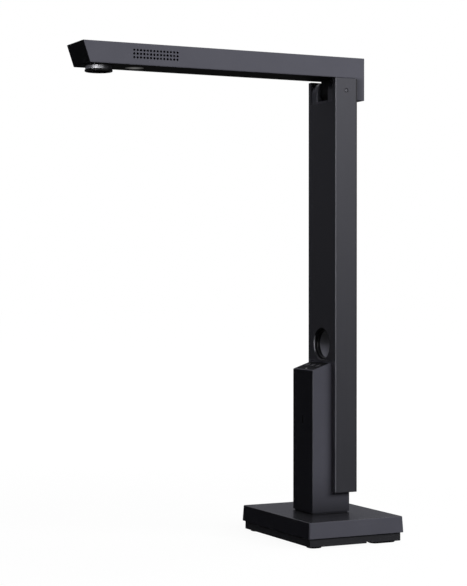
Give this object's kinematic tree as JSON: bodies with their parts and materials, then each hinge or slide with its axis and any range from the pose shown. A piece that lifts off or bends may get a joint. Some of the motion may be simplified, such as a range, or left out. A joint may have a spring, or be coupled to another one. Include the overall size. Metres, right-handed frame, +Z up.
{
  "type": "document scanner",
  "caption": "Overhead document scanner: weighted base, post with sloped key panel, sliding column and a folding camera arm whose lens parks in a round recess.",
  "frame": {"origin": "on the desk, under the middle of the base", "axes": "+Z up, -Y the way the camera arm reaches out over the document, +X towards the side with the speaker holes"},
  "size_m": [0.1148, 0.2545, 0.3853],
  "materials": {
    "case_plastic": "matte",
    "column_metal": "matte",
    "inner_plastic": "matte",
    "panel_plastic": "gloss",
    "key_plastic": "satin",
    "soft_rubber": "matte",
    "plain_steel": "satin",
    "hinge_metal": "satin",
    "guide_nylon": "satin",
    "circuit_board": "satin",
    "flat_cable": "satin",
    "lens_metal": "polished",
    "lens_gloss": "gloss",
    "lens_glass": "polished",
    "lamp_plastic": "gloss",
    "lamp_mirror": "polished"
  },
  "bodies": {
    "base": {"base_tray": "inner_plastic", "rubber_feet": "soft_rubber", "counterweight": "plain_steel", "base_cover": "case_plastic", "tray_screws": "plain_steel", "main_board": "circuit_board", "cable_socket": "plain_steel", "board_screws": "plain_steel", "post_shell": "case_plastic", "post_screws": "plain_steel", "control_panel": "panel_plastic", "status_light": "lamp_plastic", "key_board": "circuit_board", "key_switches": "inner_plastic", "indicator_window": "panel_plastic", "indicator_board": "circuit_board", "post_wear_strips": "guide_nylon", "brake_shoe": "guide_nylon", "brake_spring": "plain_steel", "post_ribbon": "flat_cable"},
    "column": {"column_tube": "column_metal", "column_wear_strips": "guide_nylon", "travel_stop": "inner_plastic", "stop_screws": "plain_steel", "parking_cup": "inner_plastic", "parking_pad": "soft_rubber", "column_ribbon": "flat_cable", "hinge_bracket": "hinge_metal", "bracket_screws": "plain_steel", "hinge_pin": "plain_steel", "friction_washers": "plain_steel"},
    "arm": {"arm_housing": "case_plastic", "arm_bottom_cover": "inner_plastic", "hinge_tongue": "hinge_metal", "tongue_screws": "plain_steel", "lens_barrel": "lens_metal", "lens_ring": "lens_gloss", "lens_glass": "lens_glass", "lens_cell": "inner_plastic", "front_element": "lens_glass", "image_sensor": "inner_plastic", "camera_board": "circuit_board", "camera_screws": "plain_steel", "lamp_lens": "lamp_plastic", "lamp_reflector": "lamp_mirror", "lamp_board": "circuit_board", "lamp_diodes": "lamp_plastic", "speaker": "inner_plastic", "speaker_gasket": "soft_rubber", "arm_ribbon": "flat_cable"},
    "left_button": {"left_key": "key_plastic"},
    "middle_button": {"middle_key": "key_plastic"},
    "right_button": {"right_key": "key_plastic"}
  },
  "joints": [
    {"name": "column_slide", "type": "slide", "parent": "base", "child": "column", "axis": [0, 0, 1], "range_m": [0, 0.06]},
    {"name": "arm_hinge", "type": "hinge", "parent": "column", "child": "arm", "pos_m": [0, 0.0104, 0.3582], "axis": [1, 0, 0], "range_deg": [0, 90]},
    {"name": "left_key_press", "type": "slide", "parent": "base", "child": "left_button", "axis": [0, 0.3256, -0.9455], "range_m": [0, 0.0006], "stiffness_N_per_m": 600, "springref_m": -0.0005},
    {"name": "middle_key_press", "type": "slide", "parent": "base", "child": "middle_button", "axis": [0, 0.3256, -0.9455], "range_m": [0, 0.0006], "stiffness_N_per_m": 600, "springref_m": -0.0005},
    {"name": "right_key_press", "type": "slide", "parent": "base", "child": "right_button", "axis": [0, 0.3256, -0.9455], "range_m": [0, 0.0006], "stiffness_N_per_m": 600, "springref_m": -0.0005}
  ]
}
